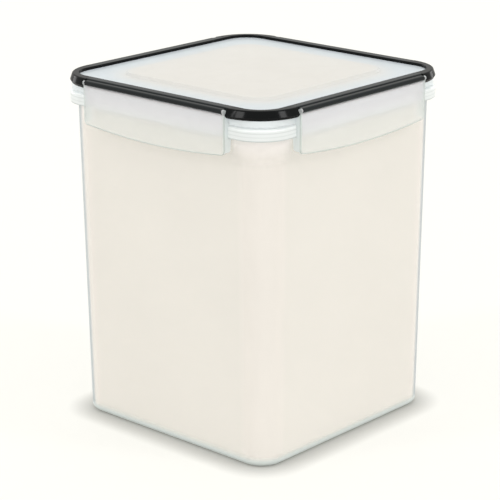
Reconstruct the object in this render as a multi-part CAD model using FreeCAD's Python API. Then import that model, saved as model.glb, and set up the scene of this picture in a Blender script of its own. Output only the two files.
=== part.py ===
import FreeCAD, Part
import math
import os

from FreeCAD import Vector

# Tall square dry-food container with a four-flap snap lid.
# A tapered clear tub carries a turned-down flange just under its rim. The lid is a clear panel in a dark
# frame, with a soft sealing ring on the rim. Each side of the frame has a hinge barrel, and a clear flap
# swings on it by two stub pins. Hanging down, a flap stands just clear of the flange. Pressed in, it hooks
# under it.
# Millimetres. +Z is up, the origin is the centre of the base and the front is -Y.
# In a section, u is the distance from the container's axis square to a side, and z is the height.

# Tub
TUB_BASE_HALF = 87.0
TUB_TOP_HALF = 90.0
TUB_BASE_CORNER_RADIUS = 17.0
TUB_TOP_CORNER_RADIUS = 18.0
TUB_WALL = 2.0
TUB_FLOOR = 2.4
FOOT_RADIUS = 4.5
FOOT_WIDTH = 11.0
STACK_RECESS_DEPTH = 1.6

# Flange and rim
FLANGE_UNDERSIDE = 225.4
FLANGE_HEIGHT = 7.8
FLANGE_REACH = 5.5
FLANGE_THICKNESS = 1.8
FLANGE_CROWN_RADIUS = 1.6
FLANGE_CORNER_RUN = 7.2
FLANGE_SLOT = 6.8
RIM_HEIGHT = 5.4
MOULDED_EDGE = 0.5

# Lid panel
PANEL_THICKNESS = 2.0
PANEL_LIP = 0.8
PLUG_CLEARANCE = 0.5
PLUG_WALL = 1.6
PLUG_DEPTH = 6.0
SKIRT_CLEARANCE = 0.6
SKIRT_GAP = 1.0
PAD_SETBACK = 0.8
PLATEAU_BORDER = 24.5
PLATEAU_HEIGHT = 1.8
PLATEAU_SLOPE = 2.0
PLATEAU_CORNER_RADIUS = 14.5

# Sealing ring
SEAL_HEIGHT = 2.6
SEAL_CLEARANCE = 0.1
SEAL_GROOVE_WIDTH = 0.9
SEAL_GROOVE_DEPTH = 0.9
SEAL_EDGE = 0.3

# Lid frame
FRAME_SETBACK = 0.5
FRAME_WIDTH = 6.0
FRAME_WALL = 1.7
FRAME_HEIGHT = 2.0
FRAME_LIP_HEIGHT = 2.4
FRAME_CLEARANCE = 0.1
FRAME_EDGE = 0.4
COLLAR_CREST = 1.0
COLLAR_CREST_RADIUS = 29.7
COLLAR_SWELL = 3.6
COLLAR_SWELL_RADIUS = 34.8
COLLAR_SWELL_HEIGHT = 2.0
COLLAR_FOOT = 2.0
COLLAR_FOOT_RADIUS = 32.0
COLLAR_EDGE = 1.2
COLLAR_CLEARANCE = 0.6

# Hinges
BARREL_RADIUS = 1.5
BARREL_DROP = 0.9
BARREL_LEDGE = 0.6
BARREL_ROOT = 1.0
PIN_RADIUS = 0.75
PIN_LENGTH = 2.5
PIN_TAPER = 0.25
PIN_CLEARANCE = 0.05
BORE_END_CLEARANCE = 0.5
EAR_WIDTH = 1.4
EAR_CLEARANCE = 0.3

# Flaps
FLAP_THICKNESS = 1.6
FLAP_TOP_CLEARANCE = 0.3
FLAP_END_CLEARANCE = 0.5
FLAP_GRIP = 5.2
FLAP_BOW = 3.9
FLAP_CORNER_RADIUS = 3.0
FLAP_LOCK_DEGREES = 5.0
END_WALL = 1.6
END_WALL_CLEARANCE = 0.5
END_WALL_STEP = 1.2
HOOK_REACH = 1.4
HOOK_HEIGHT = 5.0
HOOK_NOSE = 1.2
HOOK_HALF_GAP = 17.0
HOOK_END_INSET = 6.0
HOOK_TIP_CLEARANCE = 0.3
HOOK_TOP_CLEARANCE = 0.6

# Heights, from the floor up
FLANGE_TOP = FLANGE_UNDERSIDE + FLANGE_HEIGHT
RIM_TOP = FLANGE_TOP + RIM_HEIGHT
PANEL_BOTTOM = RIM_TOP + SEAL_HEIGHT
PANEL_TOP = PANEL_BOTTOM + PANEL_THICKNESS
FRAME_TOP = PANEL_TOP + FRAME_HEIGHT
FRAME_BOTTOM = PANEL_BOTTOM - FRAME_LIP_HEIGHT
SKIRT_BOTTOM = FLANGE_TOP + SKIRT_GAP
HINGE_Z = FRAME_TOP - BARREL_DROP - BARREL_RADIUS
FLAP_TOP = HINGE_Z - BARREL_RADIUS - FLAP_TOP_CLEARANCE
HOOK_TOP = FLANGE_UNDERSIDE - HOOK_TOP_CLEARANCE
FLAP_END_BOTTOM = HOOK_TOP - HOOK_HEIGHT - FLAP_GRIP

# Distances from the axis, from the mouth outwards
CORNER_CENTRE = TUB_TOP_HALF - TUB_TOP_CORNER_RADIUS
MOUTH_HALF = TUB_TOP_HALF - TUB_WALL
PLUG_OUTER = MOUTH_HALF - PLUG_CLEARANCE
SKIRT_INNER = TUB_TOP_HALF + SKIRT_CLEARANCE
FLANGE_OUTER = TUB_TOP_HALF + FLANGE_REACH
FRAME_OUTER = FLANGE_OUTER - FRAME_SETBACK
FRAME_INNER = FRAME_OUTER - FRAME_WIDTH
PANEL_EDGE = FRAME_OUTER - FRAME_WALL - FRAME_CLEARANCE
SKIRT_OUTER = PANEL_EDGE - PANEL_LIP
PAD_OUTER = FRAME_OUTER - PAD_SETBACK
PLATEAU_HALF = FRAME_INNER - PLATEAU_BORDER
HOOK_TIP = FLANGE_OUTER + HOOK_TIP_CLEARANCE
FLAP_INNER = HOOK_TIP + HOOK_REACH
HINGE_U = FLAP_INNER + FLAP_THICKNESS / 2
FLAP_OUTER = FLAP_INNER + FLAP_THICKNESS

# Distances along a side, from its middle outwards
FLANGE_CORNER_START = CORNER_CENTRE - FLANGE_CORNER_RUN
LEDGE_END = FLANGE_CORNER_START - FLANGE_SLOT
HOOK_END = LEDGE_END - HOOK_END_INSET
FLAP_END = FLANGE_CORNER_START - FLAP_END_CLEARANCE
EAR_INNER = FLAP_END - EAR_WIDTH
BARREL_END = EAR_INNER - EAR_CLEARANCE
COLLAR_START = FLAP_END + COLLAR_CLEARANCE

SIDES = {"front": 0, "right": 90, "back": 180, "left": 270}
AXIS_X = Vector(1, 0, 0)
AXIS_Z = Vector(0, 0, 1)
ORIGIN = Vector(0, 0, 0)
BEYOND = 1.0


def joined(shapes):
    """One clean solid from solids that touch or overlap."""
    first, *others = shapes
    return first.fuse(others).removeSplitter()


def turned(shape, degrees):
    """A copy of a shape turned about the container's axis."""
    copy = shape.copy()
    copy.rotate(ORIGIN, AXIS_Z, degrees)
    return copy


def on_all_sides(shape):
    """Copies of a front shape on the four sides."""
    return [turned(shape, degrees) for degrees in SIDES.values()]


def at_both_ends(shape):
    """A shape at the right end of the front side, and its mirror image at the left end."""
    return [shape, shape.mirror(ORIGIN, AXIS_X)]


def outline(corners, place):
    """A closed wire through (a, b, radius) corners, each rounded by its radius and put in space by place."""
    points = [Vector(a, b, 0) for a, b, _ in corners]
    bends = []
    for index, (point, (_, _, radius)) in enumerate(zip(points, corners)):
        back = (points[index - 1] - point).normalize()
        ahead = (points[(index + 1) % len(points)] - point).normalize()
        half_angle = back.getAngle(ahead) / 2
        tangent = radius / math.tan(half_angle)
        sagitta = radius / math.sin(half_angle) - radius
        crown = point + (back + ahead).normalize() * sagitta
        bends.append((point + back * tangent, crown, point + ahead * tangent))
    edges = []
    for index, (start, crown, end) in enumerate(bends):
        previous = bends[index - 1][2]
        edges.append(Part.LineSegment(place(previous), place(start)).toShape())
        if corners[index][2]:
            edges.append(Part.Arc(place(start), place(crown), place(end)).toShape())
    return Part.Wire(edges)


def square(half, radius, z):
    """A rounded square at height z, centred on the axis."""
    corners = [(half, -half, radius), (half, half, radius), (-half, half, radius), (-half, -half, radius)]
    return outline(corners, lambda point: Vector(point.x, point.y, z))


def tapered(low, high):
    """A solid between two rounded squares, each given as (half, radius, z)."""
    return Part.makeLoft([square(*low), square(*high)], True, True)


def ring(section):
    """A section of (u, z, radius) corners carried along the four sides and round the four corners."""
    face = Part.Face(outline(section, lambda point: Vector(point.x, CORNER_CENTRE, point.y)))
    side = face.extrude(Vector(0, -2 * CORNER_CENTRE, 0))
    corner = face.revolve(Vector(CORNER_CENTRE, CORNER_CENTRE, 0), AXIS_Z, 90)
    return joined(on_all_sides(side) + on_all_sides(corner))


def front_bar(section, start, end):
    """A section of (u, z, radius) corners drawn along the front side from start to end."""
    face = Part.Face(outline(section, lambda point: Vector(start, -point.x, point.y)))
    return face.extrude(AXIS_X * (end - start))


def front_block(inner, outer, low, high, start, end):
    """A plain block on the front side."""
    return front_bar([(inner, low, 0), (outer, low, 0), (outer, high, 0), (inner, high, 0)], start, end)


def front_rod(radius, start, end):
    """A round rod on the front hinge axis from start to end."""
    return Part.makeCylinder(radius, end - start, Vector(start, -HINGE_U, HINGE_Z), AXIS_X)


def flat_edges(shape, z):
    """The edges of a shape that lie at height z."""
    return [edge for edge in shape.Edges if all(abs(vertex.Z - z) < 1e-6 for vertex in edge.Vertexes)]


def half_width(edge):
    """How far an edge comes from the axis, square to a side."""
    box = edge.BoundBox
    return max(-box.XMin, box.XMax, -box.YMin, box.YMax)


def tub_half(z):
    """Half the tub's outside width at height z."""
    return TUB_BASE_HALF + (TUB_TOP_HALF - TUB_BASE_HALF) * z / FLANGE_UNDERSIDE


def tub():
    """The tapered walls and the floor, which steps up over a recess for the lid of a container below."""
    outside = tapered((TUB_BASE_HALF, TUB_BASE_CORNER_RADIUS, 0),
                      (TUB_TOP_HALF, TUB_TOP_CORNER_RADIUS, FLANGE_UNDERSIDE))
    inside = tapered((tub_half(TUB_FLOOR) - TUB_WALL, TUB_BASE_CORNER_RADIUS - TUB_WALL, TUB_FLOOR),
                     (MOUTH_HALF, TUB_TOP_CORNER_RADIUS - TUB_WALL, FLANGE_UNDERSIDE))
    outside = outside.makeFillet(FOOT_RADIUS, flat_edges(outside, 0))
    inside = inside.makeFillet(FOOT_RADIUS - TUB_WALL, flat_edges(inside, TUB_FLOOR))

    half = TUB_BASE_HALF - FOOT_RADIUS - FOOT_WIDTH
    radius = TUB_BASE_CORNER_RADIUS - FOOT_RADIUS
    recess = tapered((half, radius, 0),
                     (half - STACK_RECESS_DEPTH, radius - STACK_RECESS_DEPTH, STACK_RECESS_DEPTH))
    step = tapered((half + TUB_FLOOR, radius + TUB_FLOOR, TUB_FLOOR / 2),
                   (half - STACK_RECESS_DEPTH + TUB_FLOOR / 2, radius - STACK_RECESS_DEPTH + TUB_FLOOR / 2,
                    STACK_RECESS_DEPTH + TUB_FLOOR))
    return joined([outside.cut(inside), step]).cut(recess)


def flanged_rim():
    """The neck and its hollow flange, slotted where the flaps' end walls pass."""
    web_bottom = FLANGE_TOP - FLANGE_THICKNESS
    lip_inner = FLANGE_OUTER - FLANGE_THICKNESS
    rim = ring([(MOUTH_HALF, FLANGE_UNDERSIDE, 0), (MOUTH_HALF, RIM_TOP, MOULDED_EDGE),
                (TUB_TOP_HALF, RIM_TOP, MOULDED_EDGE), (TUB_TOP_HALF, FLANGE_TOP, MOULDED_EDGE),
                (FLANGE_OUTER, FLANGE_TOP, FLANGE_CROWN_RADIUS),
                (FLANGE_OUTER, FLANGE_UNDERSIDE, MOULDED_EDGE), (lip_inner, FLANGE_UNDERSIDE, MOULDED_EDGE),
                (lip_inner, web_bottom, MOULDED_EDGE), (TUB_TOP_HALF, web_bottom, MOULDED_EDGE),
                (TUB_TOP_HALF, FLANGE_UNDERSIDE, 0)])
    slot = front_block(TUB_TOP_HALF, FLANGE_OUTER + BEYOND, FLANGE_UNDERSIDE - BEYOND,
                       FLANGE_TOP + MOULDED_EDGE, LEDGE_END, FLANGE_CORNER_START)
    slots = [copy for one in at_both_ends(slot) for copy in on_all_sides(one)]
    return rim.cut(slots)


def container_body():
    """The tub and its rim, one moulding."""
    return joined([tub(), flanged_rim()])


def lid_panel():
    """The clear plate: a raised middle for stacking, a plug inside the mouth and a skirt outside it."""
    edge_radius = PANEL_EDGE - CORNER_CENTRE
    plate = tapered((PANEL_EDGE, edge_radius, PANEL_BOTTOM), (PANEL_EDGE, edge_radius, PANEL_TOP))
    foot = (PLATEAU_HALF + PLATEAU_SLOPE, PLATEAU_CORNER_RADIUS + PLATEAU_SLOPE)
    plateau = tapered((*foot, PANEL_TOP), (PLATEAU_HALF, PLATEAU_CORNER_RADIUS, PANEL_TOP + PLATEAU_HEIGHT))
    hollow = tapered((PLATEAU_HALF, PLATEAU_CORNER_RADIUS, PANEL_BOTTOM),
                     (PLATEAU_HALF - PLATEAU_SLOPE, PLATEAU_CORNER_RADIUS - PLATEAU_SLOPE,
                      PANEL_BOTTOM + PLATEAU_HEIGHT))
    plug_inner = PLUG_OUTER - PLUG_WALL
    plug_bottom = PANEL_BOTTOM - PLUG_DEPTH
    plug = ring([(plug_inner, plug_bottom, MOULDED_EDGE), (PLUG_OUTER, plug_bottom, MOULDED_EDGE),
                 (PLUG_OUTER, PANEL_TOP, 0), (plug_inner, PANEL_TOP, 0)])
    skirt = ring([(SKIRT_INNER, SKIRT_BOTTOM, MOULDED_EDGE), (SKIRT_OUTER, SKIRT_BOTTOM, MOULDED_EDGE),
                  (SKIRT_OUTER, PANEL_TOP, 0), (SKIRT_INNER, PANEL_TOP, 0)])
    return joined([plate, plateau, plug, skirt, corner_pads()]).cut(hollow)


def corner_pads():
    """The skirt's thick corners, which fill the space under the frame's corners."""
    pad_top = FRAME_BOTTOM - FRAME_CLEARANCE
    band = ring([(SKIRT_INNER, SKIRT_BOTTOM, MOULDED_EDGE), (PAD_OUTER, SKIRT_BOTTOM, MOULDED_EDGE),
                 (PAD_OUTER, pad_top, 0), (SKIRT_INNER, pad_top, 0)])
    side = front_block(SKIRT_OUTER, PAD_OUTER + BEYOND, SKIRT_BOTTOM - BEYOND, pad_top + BEYOND,
                       -FLANGE_CORNER_START, FLANGE_CORNER_START)
    return band.cut(on_all_sides(side))


def seal_ring():
    """The soft ring above the rim: two lips with a groove between them."""
    inner = PLUG_OUTER + SEAL_CLEARANCE
    outer = SKIRT_INNER - SEAL_CLEARANCE
    middle = (inner + outer) / 2
    return ring([(inner, PANEL_BOTTOM, 0), (inner, RIM_TOP, SEAL_EDGE),
                 (middle - SEAL_GROOVE_WIDTH / 2, RIM_TOP, SEAL_EDGE),
                 (middle, RIM_TOP + SEAL_GROOVE_DEPTH, SEAL_EDGE),
                 (middle + SEAL_GROOVE_WIDTH / 2, RIM_TOP, SEAL_EDGE),
                 (outer, RIM_TOP, SEAL_EDGE), (outer, PANEL_BOTTOM, 0)])


def bezel():
    """The frame's outside: upright along the sides, with corner collars that swell out to the flaps' ears."""
    swell = (FRAME_OUTER + COLLAR_SWELL, COLLAR_SWELL_RADIUS, FRAME_BOTTOM + COLLAR_SWELL_HEIGHT)
    lower = tapered((FRAME_OUTER + COLLAR_FOOT, COLLAR_FOOT_RADIUS, FRAME_BOTTOM), swell)
    upper = tapered(swell, (FRAME_OUTER + COLLAR_CREST, COLLAR_CREST_RADIUS, FRAME_TOP))
    lower = lower.makeFillet(MOULDED_EDGE, flat_edges(lower, FRAME_BOTTOM))
    upper = upper.makeFillet(COLLAR_EDGE, flat_edges(upper, FRAME_TOP))
    out = swell[0] + BEYOND
    under = FRAME_BOTTOM - BEYOND
    over = FRAME_TOP + BEYOND
    shoulder = FRAME_OUTER - FRAME_EDGE
    side = front_bar([(FRAME_OUTER, under, 0), (out, under, 0), (out, over, 0), (shoulder, over, 0),
                      (shoulder, FRAME_TOP, 0), (FRAME_OUTER, FRAME_TOP - FRAME_EDGE, 0)],
                     -COLLAR_START, COLLAR_START)
    return joined([lower, upper]).cut(on_all_sides(side))


def well(half, low, high):
    """A straight-sided opening about the axis, with the frame's corner centres."""
    radius = half - CORNER_CENTRE
    return tapered((half, radius, low), (half, radius, high))


def lid_frame():
    """The dark frame: a channel that grips the plate's edge, with a bored hinge barrel on each side."""
    opening = well(FRAME_INNER, PANEL_TOP - BEYOND, FRAME_TOP + BEYOND)
    groove = well(PANEL_EDGE + FRAME_CLEARANCE, PANEL_BOTTOM, PANEL_TOP)
    throat = well(SKIRT_OUTER + FRAME_CLEARANCE, FRAME_BOTTOM - BEYOND, PANEL_BOTTOM + BEYOND)
    channel = bezel().cut([opening, groove, throat])
    inner = [edge for edge in flat_edges(channel, FRAME_TOP) if half_width(edge) < FRAME_INNER + MOULDED_EDGE]
    channel = channel.makeFillet(MOULDED_EDGE, inner)

    root = FRAME_OUTER - BARREL_ROOT
    nose = HINGE_U + BARREL_RADIUS
    barrel = front_bar([(root, HINGE_Z - BARREL_RADIUS, 0), (nose, HINGE_Z - BARREL_RADIUS, BARREL_RADIUS),
                        (nose, HINGE_Z + BARREL_RADIUS, BARREL_RADIUS), (root, FRAME_TOP - BARREL_LEDGE, 0)],
                       -BARREL_END, BARREL_END)
    bore_end = EAR_INNER - PIN_LENGTH - BORE_END_CLEARANCE
    bore = front_rod(PIN_RADIUS + PIN_CLEARANCE, bore_end, BARREL_END)
    bores = [copy for one in at_both_ends(bore) for copy in on_all_sides(one)]
    return joined([channel] + on_all_sides(barrel)).cut(bores)


def wall_reach(z, neighbour):
    """How far in an end wall comes at height z, so that it still clears its neighbour when the flap locks."""
    return neighbour + (HINGE_Z - z) * math.sin(math.radians(FLAP_LOCK_DEGREES)) + END_WALL_CLEARANCE


def flap_plate():
    """The flap's face, with a bowed lower edge and softened outer edges."""
    corners = [Vector(x, -FLAP_INNER, z) for x, z in ((FLAP_END, FLAP_END_BOTTOM), (FLAP_END, FLAP_TOP),
                                                      (-FLAP_END, FLAP_TOP), (-FLAP_END, FLAP_END_BOTTOM))]
    edges = [Part.LineSegment(start, end).toShape() for start, end in zip(corners, corners[1:])]
    lowest = Vector(0, -FLAP_INNER, FLAP_END_BOTTOM - FLAP_BOW)
    edges.append(Part.Arc(corners[-1], lowest, corners[0]).toShape())
    plate = Part.Face(Part.Wire(edges)).extrude(Vector(0, -FLAP_THICKNESS, 0))
    plate = plate.makeFillet(FLAP_CORNER_RADIUS, [edge for edge in flat_edges(plate, FLAP_END_BOTTOM)
                                                  if edge.BoundBox.XLength < MOULDED_EDGE])
    outer = [edge for edge in plate.Edges if edge.BoundBox.YMax < MOULDED_EDGE / 2 - FLAP_OUTER
             and edge.BoundBox.ZMin < FLAP_TOP - MOULDED_EDGE]
    return plate.makeFillet(MOULDED_EDGE, outer)


def front_flap():
    """The front flap: its face, two end walls, two hook ribs, and two ears with stub pins."""
    ear = front_rod(BARREL_RADIUS, EAR_INNER, FLAP_END)
    stem = front_block(FLAP_INNER, FLAP_OUTER, FLAP_TOP, HINGE_Z, EAR_INNER, FLAP_END)
    pin = front_rod(PIN_RADIUS, EAR_INNER - PIN_LENGTH + PIN_TAPER, EAR_INNER)
    tip = Part.makeCone(PIN_RADIUS - PIN_TAPER, PIN_RADIUS, PIN_TAPER,
                        Vector(EAR_INNER - PIN_LENGTH, -HINGE_U, HINGE_Z), AXIS_X)

    face = FLAP_OUTER - FLAP_THICKNESS / 2
    wall_bottom = FLAP_END_BOTTOM + FLAP_CORNER_RADIUS / 2
    step_top = SKIRT_BOTTOM - END_WALL_STEP
    step_bottom = step_top - END_WALL_STEP
    wall = front_bar([(face, FLAP_TOP, 0), (FLAP_INNER, FLAP_TOP, 0),
                      (wall_reach(step_top, SKIRT_OUTER), step_top, 0),
                      (wall_reach(step_bottom, TUB_TOP_HALF), step_bottom, 0),
                      (wall_reach(wall_bottom, TUB_TOP_HALF), wall_bottom, FLAP_CORNER_RADIUS / 2),
                      (face, wall_bottom, 0)], FLAP_END - END_WALL, FLAP_END)
    hook = front_bar([(face, HOOK_TOP, 0), (HOOK_TIP, HOOK_TOP, 0), (HOOK_TIP, HOOK_TOP - HOOK_NOSE, 0),
                      (FLAP_INNER, HOOK_TOP - HOOK_HEIGHT, 0), (face, HOOK_TOP - HOOK_HEIGHT, 0)],
                     HOOK_HALF_GAP, HOOK_END)
    ends = [copy for one in (ear, stem, pin, tip, wall, hook) for copy in at_both_ends(one)]
    return joined([flap_plate()] + ends)


def main():
    """Builds every piece and writes a file for each."""
    pieces = {"container_body": container_body(), "lid_panel": lid_panel(), "lid_frame": lid_frame(),
              "seal_ring": seal_ring()}
    flap = front_flap()
    for side, degrees in SIDES.items():
        pieces[f"{side}_flap"] = turned(flap, degrees)
    os.makedirs("parts", exist_ok=True)
    for name, shape in pieces.items():
        shape.exportStep(f"parts/{name}.step")
        print(name, "solids", len(shape.Solids), "valid", shape.isValid(), "volume", round(shape.Volume, 1))


main()
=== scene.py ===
import math
from collections import namedtuple

import bmesh
import bpy
from bpy.props import FloatProperty, FloatVectorProperty, PointerProperty
from mathutils import Matrix, Vector


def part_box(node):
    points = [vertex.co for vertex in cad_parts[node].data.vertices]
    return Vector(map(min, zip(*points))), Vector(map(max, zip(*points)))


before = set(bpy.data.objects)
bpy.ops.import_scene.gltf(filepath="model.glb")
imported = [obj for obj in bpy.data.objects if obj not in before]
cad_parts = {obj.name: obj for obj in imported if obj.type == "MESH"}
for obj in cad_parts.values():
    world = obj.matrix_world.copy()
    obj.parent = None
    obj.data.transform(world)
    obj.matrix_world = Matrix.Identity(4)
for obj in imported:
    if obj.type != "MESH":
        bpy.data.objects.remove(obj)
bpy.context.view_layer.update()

bl_info = {
    "name": "Flour Container Looks",
    "version": (1, 0, 0),
    "blender": (4, 5, 0),
    "location": "View3D > Sidebar > Container",
    "description": "Finishes the pieces of a square flour container and sets up its studio",
    "category": "Material",
}

# Lengths are in metres, and a blur is half the width of the soft change between two zones
FLAP_NODES = ("front_flap", "right_flap", "back_flap", "left_flap")
FLAP_LOW, FLAP_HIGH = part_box("front_flap")
FLAP_BOTTOM = FLAP_LOW[2]
FLAP_END = FLAP_HIGH[0]
FRAME_LOW, FRAME_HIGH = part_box("lid_frame")
FRAME_BOTTOM = FRAME_LOW[2]
FRAME_TOP = FRAME_HIGH[2]
PLASTIC_IOR = 1.49

# Middle of the tub's wall and floor, which parts the milky inner face from the clear outer one
WALL_MIDDLE_AT_BASE = 0.0860
WALL_MIDDLE_AT_FLANGE = 0.0890
WALL_CORNER_RADIUS = 0.0165
FLOOR_MIDDLE = 0.0020
FLANGE_UNDERSIDE = 0.2254

# Milky inner face of the tub
CREAM_BLUR = 0.006
CREAM_ROUGHNESS = 0.62
CREAM_SHARE = 0.97

# Zones of the tub's clear outer face
# Lighter rounded upright corners: a painted highlight band
CORNER_HIGHLIGHT_START, CORNER_HIGHLIGHT_BLUR = 0.0690, 0.004
CORNER_TURN, TURN_BLUR = 0.0735, 0.003
# Lighter rounded foot: painted light against the shade where the foot faces the floor
PAINTED_LIGHT_FOOT_TOP, PAINTED_LIGHT_FOOT_BLUR = 0.0055, 0.002
RIM_START, RIM_BLUR = FLANGE_UNDERSIDE - 0.0007, 0.0005
# Lighter wall under the flange between the flaps: painted light that cancels the shade under the
# flange
SHOULDER_SIDE, SHOULDER_SIDE_BLUR = FLAP_END - 0.001, 0.003
SHOULDER_HEIGHT, SHOULDER_HEIGHT_BLUR = FLANGE_UNDERSIDE - 0.010, 0.008
# Height over the flange's underside, width and strength of the lines along it. The lowest line is
# painted shade along the flange's lower edge, the two higher ones mark the hollow lip's inner edges
FLANGE_EDGE_AND_SHADE_LINES = ((0.0002, 0.0016, 0.85), (0.0030, 0.0010, 0.30), (0.0054, 0.0010, 0.40))
# Heights between which the foot's rubbing fades, and the roughness that it adds
RUB_FULL, RUB_END, RUB_ROUGHNESS = 0.002, 0.012, 0.22

# Zones of a flap, and how far its lower edge rises towards the ends
TINT_HEIGHT, TINT_BLUR = FLANGE_UNDERSIDE + 0.002, 0.006
EARS_START, EARS_BLUR = 0.2405, 0.0005
END_WALL_START, END_WALL_BLUR = FLAP_END - 0.0007, 0.0003
OUTER_FACE_START, OUTER_FACE_BLUR = 0.0978, 0.0004
FLAP_BOW = 0.0039

# Zones of the lid panel and frame
FRAME_OPENING = 0.0890
FRAME_OPENING_RADIUS = 0.0170
BORDER_CORNER = 0.0420
BORDER_FADE = 0.0240
SKIRT_BLUR = 0.0006
LIP_WIDTH, LIP_BLUR = 0.0006, 0.0003
COLLAR_START = 0.0649
BARREL_START = 0.0952
STRIP_BLUR = 0.0004
WORN_START, WORN_BLUR = FRAME_TOP - 0.0003, 0.0007
WORN_MOST = 0.35
FRAME_COAT = {"Coat Weight": 0.42, "Coat Roughness": 0.12, "Coat IOR": 1.34}

# Facing values at which a clear wall starts to look tinted, and is fully so
FACING_BLEND = 0.5
TUB_GRAZING = (0.45, 0.72)
FLAP_GRAZING = (0.42, 0.70)
PANEL_GRAZING = (0.72, 0.95)

# Part of the noise's range that a pattern uses, and the roughness that it gives
TONE_NOISE = (0.25, 0.75)
SMUDGE_NOISE = (0.30, 0.75)
WEAR_NOISE = (0.52, 0.80)
GRAIN_NOISE = (0.30, 0.70)
TUB_ROUGHNESS = (0.29, 0.38)
FLAP_ROUGHNESS = (0.29, 0.37)
PANEL_ROUGHNESS = (0.29, 0.40)
SEAL_ROUGHNESS = (0.42, 0.55)
FRAME_SMOOTHER, FRAME_ROUGHER = 0.05, 0.08

# Studio: the floor's painted contact shadow round the foot, the suns and the camera
FLOOR_SIZE = 12.0
CONTACT_SHADOW = 0.019
CONTACT_DEPTH = 3.0
CONTACT_SAMPLES = 16
BACKGROUND_STRENGTH = 1.0
LAMP_DISTANCE = 4.0
# Direction and apparent width in degrees, part of the lamp strength, casts shadows or not
Lamp = namedtuple("Lamp", "azimuth elevation width part shadows")
LAMPS = {
    "left_softbox": Lamp(-8.0, 34.0, 20.0, 0.64, shadows=False),
    "right_softbox": Lamp(96.0, 34.0, 20.0, 0.76, shadows=False),
    "left_key": Lamp(-26.0, 36.0, 10.0, 0.34, shadows=True),
    "right_key": Lamp(114.0, 36.0, 10.0, 0.34, shadows=True),
    "back_fill": Lamp(180.0, 12.0, 20.0, 0.30, shadows=False),
    "side_fill": Lamp(270.0, 12.0, 20.0, 0.30, shadows=False),
    "top_softbox": Lamp(222.0, 72.0, 24.0, 0.15, shadows=True),
}
CAMERA_TARGET = Vector((0, 0, 0.12194))
CAMERA_SHIFT = (-0.00787, -0.01779)
CAMERA_CLIP_START = 0.01
SENSOR_WIDTH = 36.0


def linear(red, green, blue):
    """A colour given in screen values from 0 to 255, as the linear values that shaders take."""
    values = []
    for level in (red, green, blue):
        part = level / 255
        values.append(part / 12.92 if part <= 0.04045 else ((part + 0.055) / 1.055) ** 2.4)
    return tuple(values)


def colour(name, description, default):
    """A colour property."""
    return FloatVectorProperty(name=name, description=description, subtype="COLOR", size=3,
                               min=0, max=1, default=default)


def share(name, description, default):
    """A property from 0 to 1."""
    return FloatProperty(name=name, description=description, subtype="FACTOR",
                         min=0, max=1, default=default)


def length(name, description, default):
    """A length property in metres."""
    return FloatProperty(name=name, description=description, subtype="DISTANCE", unit="LENGTH",
                         default=default)


def angle(name, description, degrees):
    """An angle property, given in degrees."""
    return FloatProperty(name=name, description=description, subtype="ANGLE", unit="ROTATION",
                         default=math.radians(degrees))


def strength(name, description, default):
    """A property for a strength of light."""
    return FloatProperty(name=name, description=description, min=0, default=default)


class TubLooks(bpy.types.PropertyGroup):
    """Finish of the tub"""
    cream: colour("Cream", "Milky inner face of the wall", linear(241, 236, 230))
    haze: colour("Haze", "Clear outer face seen straight on", linear(237, 236, 231))
    edge: colour("Edge", "Clear corner seen along its surface", linear(182, 190, 194))
    # Corner colour is a painted highlight band on the rounded upright corners
    corner: colour("Corner", "Rounded upright corners, a little lighter", linear(243, 239, 235))
    # Shoulder colour is painted light on the wall under the flange, against the shade there
    shoulder_painted_light: colour("Shoulder", "Wall under the flange, between the flaps", linear(255, 250, 247))
    # Foot colour and opacity are painted light that lightens the foot where it faces the floor's
    # shade
    foot: colour("Foot", "Rounded foot, where the plastic gathers light", linear(224, 231, 229))
    rim: colour("Rim", "Flange and neck", linear(241, 244, 244))
    # Rim line: painted shade along the flange's lower edge, and the hollow lip's inner edges
    rim_edge_and_shade_line: colour("Rim line", "Fine lines along the flange", linear(204, 210, 209))
    haze_share: share("Haze opacity", "How much of the outer face shows straight on", 0.30)
    shoulder_painted_light_share: share("Shoulder opacity", "How much of the wall under the flange shows", 0.85)
    foot_painted_light_share: share("Foot opacity", "How much of the rounded foot shows", 0.95)
    rim_share: share("Rim opacity", "How much of the flange and neck shows", 0.80)
    edge_share: share("Edge opacity", "How much of a corner shows along its surface", 0.80)
    cream_top: length("Cream top", "Height at which the milky inner face ends", 0.228)


class FlapLooks(bpy.types.PropertyGroup):
    """Finish of the four flaps"""
    haze: colour("Haze", "Flap face", linear(242, 243, 240))
    top_tint: colour("Top tint", "Flap face close under the frame", linear(240, 237, 240))
    edge: colour("Edge", "End walls, and a face seen along its surface", linear(230, 237, 237))
    # Outline colour: along the lower edge a painted shadow line, along the ends a mark of the end
    # walls
    outline: colour("Outline", "Outer rim of the lower edge and ends", linear(204, 213, 209))
    haze_share: share("Haze opacity", "How much of the lower face shows straight on", 0.32)
    top_share: share("Top opacity", "How much of the face under the frame shows straight on", 0.40)
    edge_share: share("Edge opacity", "How much shows of end walls and along a face", 0.85)
    ear_share: share("Ear opacity", "How much of the ears beside the hinges shows", 0.36)
    outline_width: length("Outline width", "Width of the outline", 0.0013)
    edge_and_shadow_outline_share: share("Outline opacity", "How much of the outline shows", 0.75)


class PanelLooks(bpy.types.PropertyGroup):
    """Finish of the lid panel"""
    # Haze and border are painted darker than the panel looks, as painted shade against the strong
    # light on its upward face
    haze: colour("Haze", "Middle of the panel", linear(214, 211, 206))
    border: colour("Border", "Panel round its raised middle", linear(205, 212, 217))
    # Skirt colour is the pads' own bluish white, made lighter as painted light against the collar's
    # shade
    skirt_painted_light: colour("Skirt", "Skirt and corner pads under the frame", linear(238, 243, 245))
    haze_share: share("Haze opacity", "How much of the panel shows straight on", 0.72)
    edge_share: share("Edge opacity", "How much of the panel shows along its surface", 0.90)
    border_width: length("Border width", "Width of the tinted border", 0.030)


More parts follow.
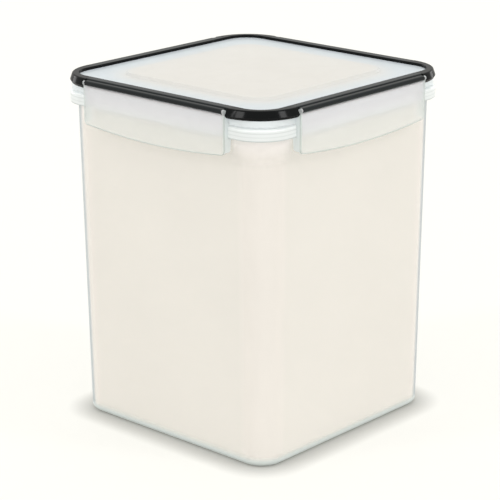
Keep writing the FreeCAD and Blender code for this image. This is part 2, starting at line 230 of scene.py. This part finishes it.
class FrameLooks(bpy.types.PropertyGroup):
    """Finish of the lid frame"""
    # Black is the collars' own colour, and on the inner lip painted shade of the frame's inner wall
    collar_black_and_lip_shade: colour("Black", "Corner collars and inner lip", linear(8, 10, 11))
    strip: colour("Strip", "Top of the sides", linear(44, 47, 48))
    # Barrel colour is painted shade: the hinge barrels darker than the top of the sides
    shaded_barrel: colour("Barrel", "Hinge barrels", linear(33, 36, 37))
    worn: colour("Worn", "Rubbed upper edges", linear(62, 65, 66))
    roughness: share("Roughness", "Roughness of the frame", 0.36)


class SealLooks(bpy.types.PropertyGroup):
    """Finish of the sealing ring"""
    pale: colour("Pale", "Silicone ring", linear(233, 235, 233))


class StageLooks(bpy.types.PropertyGroup):
    """Floor, light and camera"""
    white: colour("White", "Background as the camera sees it", linear(255, 255, 251))
    floor: colour("Floor", "Floor under the lamps", (0.430, 0.425, 0.405))
    floor_glow: strength("Floor glow", "White added to the floor for the camera", 0.455)
    ambient: strength("Ambient", "Strength of the even light from all round", 0.91)
    lamp: strength("Lamp strength", "Full strength of a sun, in watts to the square metre", 1.00)
    lens: FloatProperty(name="Lens", description="Focal length, in millimetres", unit="CAMERA",
                        min=1, default=142.06)
    azimuth: angle("Azimuth", "Camera's direction round the container", 42.229)
    elevation: angle("Elevation", "Camera's direction above the floor", 17.296)
    roll: angle("Roll", "Camera's lean to one side", -0.216)
    distance: length("Distance", "From the camera to the middle of the container", 1.3864)


class NodeBench:
    """Nodes of a material or a world in the making."""

    def __init__(self, owner):
        self.owner = owner
        owner.use_nodes = True
        self.tree = owner.node_tree
        self.tree.nodes.clear()

    def add(self, kind, inputs=None, **settings):
        """A node with its settings, and its inputs linked or set."""
        node = self.tree.nodes.new(kind)
        for name, value in settings.items():
            setattr(node, name, value)
        for name, value in (inputs or {}).items():
            socket = node.inputs[name]
            if isinstance(value, bpy.types.NodeSocket):
                self.tree.links.new(value, socket)
            elif socket.type == "RGBA":
                socket.default_value = (*value, 1)
            else:
                socket.default_value = value
        return node

    def math(self, operation, *values):
        """The result of a Math node."""
        return self.add("ShaderNodeMath", dict(enumerate(values)), operation=operation).outputs[0]

    def product(self, first, *others):
        """Values multiplied."""
        for other in others:
            first = self.math("MULTIPLY", first, other)
        return first

    def ease(self, value, low, high, start=0.0, end=1.0):
        """A smooth step from start to end while value goes from low to high."""
        inputs = {"Value": value, "From Min": low, "From Max": high, "To Min": start, "To Max": end}
        node = self.add("ShaderNodeMapRange", inputs, interpolation_type="SMOOTHSTEP")
        return node.outputs["Result"]

    def rise(self, value, middle, blur):
        """0 below the middle and 1 above it, with a soft change."""
        return self.ease(value, middle - blur, middle + blur)

    def fall(self, value, middle, blur):
        """1 below the middle and 0 above it, with a soft change."""
        return self.ease(value, middle - blur, middle + blur, 1.0, 0.0)

    def mix(self, factor, first, second):
        """Two colours mixed."""
        inputs = {0: factor, 6: first, 7: second}
        return self.add("ShaderNodeMix", inputs, data_type="RGBA").outputs[2]

    def mix_numbers(self, factor, first, second):
        """Two numbers mixed."""
        inputs = {0: factor, 2: first, 3: second}
        return self.add("ShaderNodeMix", inputs, data_type="FLOAT").outputs[0]

    def seen_rays(self):
        """1 for rays that show the background itself: from the camera, a gloss or glass."""
        path = self.add("ShaderNodeLightPath")
        seen = path.outputs["Is Camera Ray"]
        for name in ("Is Glossy Ray", "Is Transmission Ray"):
            seen = self.math("MAXIMUM", seen, path.outputs[name])
        return seen


class FinishBench(NodeBench):
    """Nodes of a piece's material. Patterns read the piece's own Object coordinates, in metres."""

    def __init__(self, name):
        super().__init__(bpy.data.materials.new(name))
        self.place = self.add("ShaderNodeTexCoord").outputs["Object"]
        split = self.add("ShaderNodeSeparateXYZ", {"Vector": self.place})
        self.x, self.y, self.z = split.outputs

    def across(self):
        """Distances from the two upright planes through the axis."""
        return self.math("ABSOLUTE", self.x), self.math("ABSOLUTE", self.y)

    def along_side(self):
        """Distance along a side from its middle, which is large only at the corners."""
        return self.math("MINIMUM", *self.across())

    def out_from_axis(self):
        """Distance of a side from the axis."""
        return self.math("MAXIMUM", *self.across())

    def square_distance(self, half, radius):
        """Distance out from a rounded square about the axis, half being half its width."""
        centre = self.math("SUBTRACT", half, radius)
        squares = []
        for reach in self.across():
            past = self.math("MAXIMUM", self.math("SUBTRACT", reach, centre), 0.0)
            squares.append(self.product(past, past))
        from_centre = self.math("SQRT", self.math("ADD", *squares))
        return self.math("SUBTRACT", from_centre, radius)

    def noise(self, scale, detail, distortion=0.0):
        """Noise from 0 to 1 with scale grains to the metre."""
        inputs = {"Vector": self.place, "Scale": scale, "Detail": detail, "Distortion": distortion}
        return self.add("ShaderNodeTexNoise", inputs).outputs[0]

    def tone(self, shade, pattern, amount):
        """A colour made lighter and darker by a pattern."""
        level = self.ease(pattern, *TONE_NOISE, 1 - amount, 1 + amount)
        channels = {"Red": level, "Green": level, "Blue": level}
        grey = self.add("ShaderNodeCombineColor", channels).outputs[0]
        inputs = {0: 1.0, 6: shade, 7: grey}
        node = self.add("ShaderNodeMix", inputs, data_type="RGBA", blend_type="MULTIPLY")
        return node.outputs[2]

    def smudges(self, scale, roughness):
        """Roughness that wanders between two values, as on handled plastic."""
        pattern = self.noise(scale, detail=5.0, distortion=0.8)
        return self.ease(pattern, *SMUDGE_NOISE, *roughness)

    def bump(self, height, distance, amount):
        """A normal bent by a height pattern."""
        inputs = {"Height": height, "Distance": distance, "Strength": amount}
        return self.add("ShaderNodeBump", inputs).outputs[0]

    def grazing(self, low, high):
        """0 where a face looks at the viewer, 1 where it is seen along its surface."""
        weight = self.add("ShaderNodeLayerWeight", {"Blend": FACING_BLEND})
        return self.ease(weight.outputs["Facing"], low, high)

    def finish(self, inputs):
        """The material, closed with a Principled shader."""
        shader = self.add("ShaderNodeBsdfPrincipled", inputs)
        self.add("ShaderNodeOutputMaterial", {"Surface": shader.outputs[0]})
        return self.owner


def milky_face(bench, looks):
    """1 on the tub's inner face as far up as it looks milky, 0 elsewhere."""
    taper = {"Value": bench.z, "From Min": 0.0, "From Max": FLANGE_UNDERSIDE,
             "To Min": WALL_MIDDLE_AT_BASE, "To Max": WALL_MIDDLE_AT_FLANGE}
    half = bench.add("ShaderNodeMapRange", taper).outputs["Result"]
    within = bench.math("LESS_THAN", bench.square_distance(half, WALL_CORNER_RADIUS), 0.0)
    above_floor = bench.math("GREATER_THAN", bench.z, FLOOR_MIDDLE)
    return bench.product(within, above_floor, bench.fall(bench.z, looks.cream_top, CREAM_BLUR))


def flange_edge_and_shade_lines(bench):
    """1 along the fine lines that the hollow flange shows, 0 elsewhere: the lowest is painted shade
    along its lower edge, the higher ones mark the lip's inner edges.
    """
    lines = 0.0
    for height, width, darkness in FLANGE_EDGE_AND_SHADE_LINES:
        off = bench.math("ABSOLUTE", bench.math("SUBTRACT", bench.z, FLANGE_UNDERSIDE + height))
        lines = bench.math("MAXIMUM", lines, bench.ease(off, width / 4, width / 2, darkness, 0.0))
    return lines


def clear_wall(bench, looks):
    """Colour and opacity of the tub's clear outer face, neck and flange, with a painted highlight
    on the rounded corners, painted light under the flange and on the foot, and painted shade along
    the flange's lower edge.
    """
    side = bench.along_side()
    # Painted highlight band on the rounded corners
    corner = bench.rise(side, CORNER_HIGHLIGHT_START, CORNER_HIGHLIGHT_BLUR)
    turned = bench.product(bench.rise(side, CORNER_TURN, TURN_BLUR), bench.grazing(*TUB_GRAZING))
    # Painted light on the rounded foot
    foot = bench.fall(bench.z, PAINTED_LIGHT_FOOT_TOP, PAINTED_LIGHT_FOOT_BLUR)
    rim = bench.rise(bench.z, RIM_START, RIM_BLUR)
    # Painted light on the wall under the flange, between the flaps
    between_flaps = bench.rise(side, SHOULDER_SIDE, SHOULDER_SIDE_BLUR)
    under_flange = bench.rise(bench.z, SHOULDER_HEIGHT, SHOULDER_HEIGHT_BLUR)
    shoulder_painted_light = bench.product(between_flaps, under_flange)

    shade = bench.mix(shoulder_painted_light, bench.mix(corner, looks.haze, looks.corner), looks.shoulder_painted_light)
    shade = bench.mix(foot, bench.mix(turned, shade, looks.edge), looks.foot)
    shade = bench.mix(rim, shade, bench.mix(flange_edge_and_shade_lines(bench), looks.rim, looks.rim_edge_and_shade_line))

    shown = bench.mix_numbers(shoulder_painted_light, looks.haze_share, looks.shoulder_painted_light_share)
    shown = bench.mix_numbers(turned, shown, looks.edge_share)
    shown = bench.mix_numbers(foot, shown, looks.foot_painted_light_share)
    return shade, bench.mix_numbers(rim, shown, looks.rim_share)


def milky_tub(looks):
    """Clear wall with a milky inner face."""
    bench = FinishBench("milky_tub_finish")
    inner = milky_face(bench, looks)
    clear, shown = clear_wall(bench, looks)
    clouds = bench.noise(scale=14.0, detail=3.0, distortion=0.4)
    powder = bench.noise(scale=260.0, detail=4.0)
    cream = bench.tone(bench.tone(looks.cream, clouds, 0.012), powder, 0.010)
    rubbed = bench.ease(bench.z, RUB_FULL, RUB_END, RUB_ROUGHNESS, 0.0)
    outer_roughness = bench.math("ADD", bench.smudges(38.0, TUB_ROUGHNESS), rubbed)
    return bench.finish({
        "Base Color": bench.mix(inner, clear, cream),
        "Roughness": bench.mix_numbers(inner, outer_roughness, CREAM_ROUGHNESS),
        "Alpha": bench.mix_numbers(inner, shown, CREAM_SHARE),
        "IOR": PLASTIC_IOR,
    })


def flap_edge_and_shadow_outline(bench, looks, side):
    """1 on the rim of a flap's outer face, along its bowed lower edge and its ends, 0 elsewhere.
    Along the lower edge this darker rim is a painted shadow line.
    """
    bow = bench.product(side, side, FLAP_BOW / FLAP_END ** 2)
    above_edge = bench.math("SUBTRACT", bench.math("SUBTRACT", bench.z, FLAP_BOTTOM), bow)
    inside = bench.math("MINIMUM", above_edge, bench.math("SUBTRACT", FLAP_END, side))
    rim = bench.ease(inside, looks.outline_width / 2, looks.outline_width, 1.0, 0.0)
    return bench.product(rim, bench.rise(bench.out_from_axis(), OUTER_FACE_START, OUTER_FACE_BLUR))


def clear_flap(looks):
    """Hazy clear flap, cooler under the frame, with a thin darker rim line, painted shadow along
    the lower edge, and clearer ears.
    """
    bench = FinishBench("clear_flap_finish")
    side = bench.along_side()
    upper = bench.rise(bench.z, TINT_HEIGHT, TINT_BLUR)
    below_ears = bench.fall(bench.z, EARS_START, EARS_BLUR)
    end_wall = bench.rise(side, END_WALL_START, END_WALL_BLUR)
    edge = bench.math("MAXIMUM", end_wall, bench.grazing(*FLAP_GRAZING))
    # Darker rim: painted shadow along the lower edge, end walls marked at the ends
    outline = bench.product(flap_edge_and_shadow_outline(bench, looks, side), below_ears)

    clouds = bench.noise(scale=30.0, detail=3.0)
    shade = bench.tone(bench.mix(upper, looks.haze, looks.top_tint), clouds, 0.012)
    shade = bench.mix(outline, bench.mix(edge, shade, looks.edge), looks.outline)
    shown = bench.mix_numbers(upper, looks.haze_share, looks.top_share)
    shown = bench.mix_numbers(edge, shown, looks.edge_share)
    shown = bench.mix_numbers(below_ears, looks.ear_share, shown)
    return bench.finish({
        "Base Color": shade,
        "Roughness": bench.smudges(55.0, FLAP_ROUGHNESS),
        "Alpha": bench.mix_numbers(outline, shown, looks.edge_and_shadow_outline_share),
        "IOR": PLASTIC_IOR,
    })


def clear_panel(looks):
    """Milky clear lid panel with a cooler border, both painted darker as shade against the light
    from above, and the pads under the frame painted lighter against the collar's shade.
    """
    bench = FinishBench("clear_panel_finish")
    distance = bench.square_distance(FRAME_OPENING, BORDER_CORNER)
    border = bench.ease(distance, -looks.border_width, BORDER_FADE - looks.border_width)
    # Skirt and pads: own bluish white plus painted light
    skirt_painted_light = bench.fall(bench.z, FRAME_BOTTOM, SKIRT_BLUR)
    shade = bench.mix(skirt_painted_light, bench.mix(border, looks.haze, looks.border), looks.skirt_painted_light)
    edge = bench.grazing(*PANEL_GRAZING)
    return bench.finish({
        "Base Color": bench.tone(shade, bench.noise(scale=22.0, detail=3.0), 0.010),
        "Roughness": bench.smudges(45.0, PANEL_ROUGHNESS),
        "Alpha": bench.mix_numbers(edge, looks.haze_share, looks.edge_share),
        "IOR": PLASTIC_IOR,
    })


def black_frame(looks):
    """Black moulded frame with a fine grain and faintly rubbed upper edges; its inner lip and hinge
    barrels are painted darker as shade.
    """
    bench = FinishBench("black_frame_finish")
    grain = bench.noise(scale=1500.0, detail=3.0)
    patches = bench.noise(scale=70.0, detail=4.0, distortion=0.6)
    on_side = bench.fall(bench.along_side(), COLLAR_START, STRIP_BLUR)
    # Hinge barrels painted darker: painted shade
    on_shaded_barrel = bench.rise(bench.out_from_axis(), BARREL_START, STRIP_BLUR)
    opening = bench.square_distance(FRAME_OPENING, FRAME_OPENING_RADIUS)
    # Inner lip painted black: painted shade on the frame's inner wall
    shaded_inner_lip = bench.fall(opening, LIP_WIDTH, LIP_BLUR)
    high = bench.rise(bench.z, WORN_START, WORN_BLUR)
    wear = bench.product(high, bench.ease(patches, *WEAR_NOISE, 0.0, WORN_MOST))

    shade = bench.mix(on_side, looks.collar_black_and_lip_shade, bench.mix(on_shaded_barrel, looks.strip, looks.shaded_barrel))
    shade = bench.tone(bench.mix(shaded_inner_lip, shade, looks.collar_black_and_lip_shade), grain, 0.10)
    smoothest, roughest = looks.roughness - FRAME_SMOOTHER, looks.roughness + FRAME_ROUGHER
    return bench.finish({
        "Base Color": bench.mix(wear, shade, looks.worn),
        "Roughness": bench.ease(patches, *SMUDGE_NOISE, smoothest, roughest),
        "Specular IOR Level": 0.0,
        "Normal": bench.bump(grain, distance=0.0003, amount=0.06),
        **FRAME_COAT,
    })


def pale_seal(looks):
    """Pale silicone ring."""
    bench = FinishBench("pale_seal_finish")
    grain = bench.noise(scale=900.0, detail=3.0)
    return bench.finish({
        "Base Color": bench.tone(looks.pale, bench.noise(scale=60.0, detail=3.0), 0.02),
        "Roughness": bench.ease(grain, *GRAIN_NOISE, *SEAL_ROUGHNESS),
        "IOR": 1.42,
        "Normal": bench.bump(grain, distance=0.0002, amount=0.08),
    })


def pale_floor(looks):
    """Floor that keeps the lamps' shadows, with a painted contact shadow where its white glow fades
    near the foot, and goes white away from them.
    """
    bench = NodeBench(bpy.data.materials.new("pale_floor_finish"))
    base = bench.add("ShaderNodeBsdfDiffuse", {"Color": looks.floor})
    # Ambient occlusion cuts the floor's glow near the foot: a painted contact shadow
    contact_openness = bench.add("ShaderNodeAmbientOcclusion", {"Distance": CONTACT_SHADOW},
                         samples=CONTACT_SAMPLES).outputs["AO"]
    glow_with_painted_contact_shadow = bench.product(bench.math("POWER", contact_openness, CONTACT_DEPTH), looks.floor_glow)
    seen_glow = bench.product(bench.seen_rays(), glow_with_painted_contact_shadow)
    light = bench.add("ShaderNodeEmission", {"Color": looks.white, "Strength": seen_glow})
    both = bench.add("ShaderNodeAddShader", {0: base.outputs[0], 1: light.outputs[0]})
    bench.add("ShaderNodeOutputMaterial", {"Surface": both.outputs[0]})
    return bench.owner


def dress(names, material):
    """Puts a material on CAD nodes."""
    for name in names:
        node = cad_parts[name]
        if not node.material_slots:
            raise RuntimeError(f"{name} has no material slot")
        for slot in node.material_slots:
            slot.material = material


class CONTAINER_OT_dress_tub(bpy.types.Operator):
    """Give the tub its clear wall and milky inner face"""
    bl_idname = "container.dress_tub"
    bl_label = "Dress Tub"

    def execute(self, context):
        dress(["container_body"], milky_tub(context.scene.container_tub))
        return {"FINISHED"}


class CONTAINER_OT_dress_flaps(bpy.types.Operator):
    """Give the four flaps their hazy clear finish"""
    bl_idname = "container.dress_flaps"
    bl_label = "Dress Flaps"

    def execute(self, context):
        dress(FLAP_NODES, clear_flap(context.scene.container_flaps))
        return {"FINISHED"}


class CONTAINER_OT_dress_panel(bpy.types.Operator):
    """Give the lid panel its milky clear finish"""
    bl_idname = "container.dress_panel"
    bl_label = "Dress Lid Panel"

    def execute(self, context):
        dress(["lid_panel"], clear_panel(context.scene.container_panel))
        return {"FINISHED"}


class CONTAINER_OT_dress_frame(bpy.types.Operator):
    """Give the lid frame its black moulded finish"""
    bl_idname = "container.dress_frame"
    bl_label = "Dress Lid Frame"

    def execute(self, context):
        dress(["lid_frame"], black_frame(context.scene.container_frame))
        return {"FINISHED"}


class CONTAINER_OT_dress_seal(bpy.types.Operator):
    """Give the sealing ring its silicone finish"""
    bl_idname = "container.dress_seal"
    bl_label = "Dress Sealing Ring"

    def execute(self, context):
        dress(["seal_ring"], pale_seal(context.scene.container_seal))
        return {"FINISHED"}


def around(azimuth, elevation, distance, middle):
    """A point at a direction and distance from the middle, angles in radians."""
    flat = math.cos(elevation) * distance
    rise = math.sin(elevation) * distance
    return middle + Vector((flat * math.sin(azimuth), -flat * math.cos(azimuth), rise))


def aimed(name, data, place, middle):
    """A camera or lamp put in place and turned to the middle."""
    thing = bpy.data.objects.new(name, data)
    thing.location = place
    thing.rotation_euler = (middle - place).to_track_quat("-Z", "Y").to_euler()
    bpy.context.scene.collection.objects.link(thing)
    return thing


class CONTAINER_OT_set_stage(bpy.types.Operator):
    """Set up the floor, the light and the camera"""
    bl_idname = "container.set_stage"
    bl_label = "Set Stage"

    def execute(self, context):
        looks = context.scene.container_stage
        self.lay_floor(looks)
        self.light_world(looks)
        self.hang_lamps(looks)
        self.place_camera(looks)
        context.scene.view_settings.view_transform = "Standard"
        return {"FINISHED"}

    def lay_floor(self, looks):
        sheet = bmesh.new()
        bmesh.ops.create_grid(sheet, x_segments=1, y_segments=1, size=FLOOR_SIZE / 2)
        mesh = bpy.data.meshes.new("studio_floor")
        sheet.to_mesh(mesh)
        sheet.free()
        floor = bpy.data.objects.new("studio_floor", mesh)
        floor.data.materials.append(pale_floor(looks))
        bpy.context.scene.collection.objects.link(floor)

    def light_world(self, looks):
        world = bpy.data.worlds.new("studio_world")
        bench = NodeBench(world)
        level = bench.mix_numbers(bench.seen_rays(), looks.ambient, BACKGROUND_STRENGTH)
        light = bench.add("ShaderNodeBackground", {"Color": looks.white, "Strength": level})
        bench.add("ShaderNodeOutputWorld", {"Surface": light.outputs[0]})
        bpy.context.scene.world = world

    def hang_lamps(self, looks):
        for name, lamp in LAMPS.items():
            sun = bpy.data.lights.new(name, "SUN")
            sun.angle = math.radians(lamp.width)
            sun.energy = looks.lamp * lamp.part
            sun.use_shadow = lamp.shadows
            azimuth, elevation = math.radians(lamp.azimuth), math.radians(lamp.elevation)
            place = around(azimuth, elevation, LAMP_DISTANCE, CAMERA_TARGET)
            aimed(name, sun, place, CAMERA_TARGET).visible_camera = False

    def place_camera(self, looks):
        lens = bpy.data.cameras.new("photo_camera")
        lens.lens = looks.lens
        lens.sensor_width = SENSOR_WIDTH
        lens.shift_x, lens.shift_y = CAMERA_SHIFT
        lens.clip_start = CAMERA_CLIP_START
        place = around(looks.azimuth, looks.elevation, looks.distance, CAMERA_TARGET)
        camera = aimed("photo_camera", lens, place, CAMERA_TARGET)
        lean = Matrix.Rotation(looks.roll, 3, "Z")
        camera.rotation_euler = (camera.rotation_euler.to_matrix() @ lean).to_euler()
        bpy.context.scene.camera = camera


class CONTAINER_PT_looks(bpy.types.Panel):
    """Finishes and stage of the container"""
    bl_idname = "CONTAINER_PT_looks"
    bl_label = "Container Looks"
    bl_space_type = "VIEW_3D"
    bl_region_type = "UI"
    bl_category = "Container"

    def draw(self, context):
        for step in STEPS:
            self.layout.operator(step.bl_idname)
        for name, group in LOOKS.items():
            looks = getattr(context.scene, name)
            box = self.layout.box()
            for key in group.__annotations__:
                box.prop(looks, key)


STEPS = (
    CONTAINER_OT_dress_tub,
    CONTAINER_OT_dress_flaps,
    CONTAINER_OT_dress_panel,
    CONTAINER_OT_dress_frame,
    CONTAINER_OT_dress_seal,
    CONTAINER_OT_set_stage,
)
LOOKS = {
    "container_tub": TubLooks,
    "container_flaps": FlapLooks,
    "container_panel": PanelLooks,
    "container_frame": FrameLooks,
    "container_seal": SealLooks,
    "container_stage": StageLooks,
}


def register():
    for looks in LOOKS.values():
        bpy.utils.register_class(looks)
    for step in STEPS:
        bpy.utils.register_class(step)
    bpy.utils.register_class(CONTAINER_PT_looks)
    for name, looks in LOOKS.items():
        setattr(bpy.types.Scene, name, PointerProperty(type=looks))


def unregister():
    for name in LOOKS:
        delattr(bpy.types.Scene, name)
    bpy.utils.unregister_class(CONTAINER_PT_looks)
    for step in reversed(STEPS):
        bpy.utils.unregister_class(step)
    for looks in reversed(LOOKS.values()):
        bpy.utils.unregister_class(looks)


def main():
    """Dresses the container and sets the stage."""
    register()
    for step in STEPS:
        family, name = step.bl_idname.split(".")
        getattr(getattr(bpy.ops, family), name)()


if __name__ == "__main__":
    main()
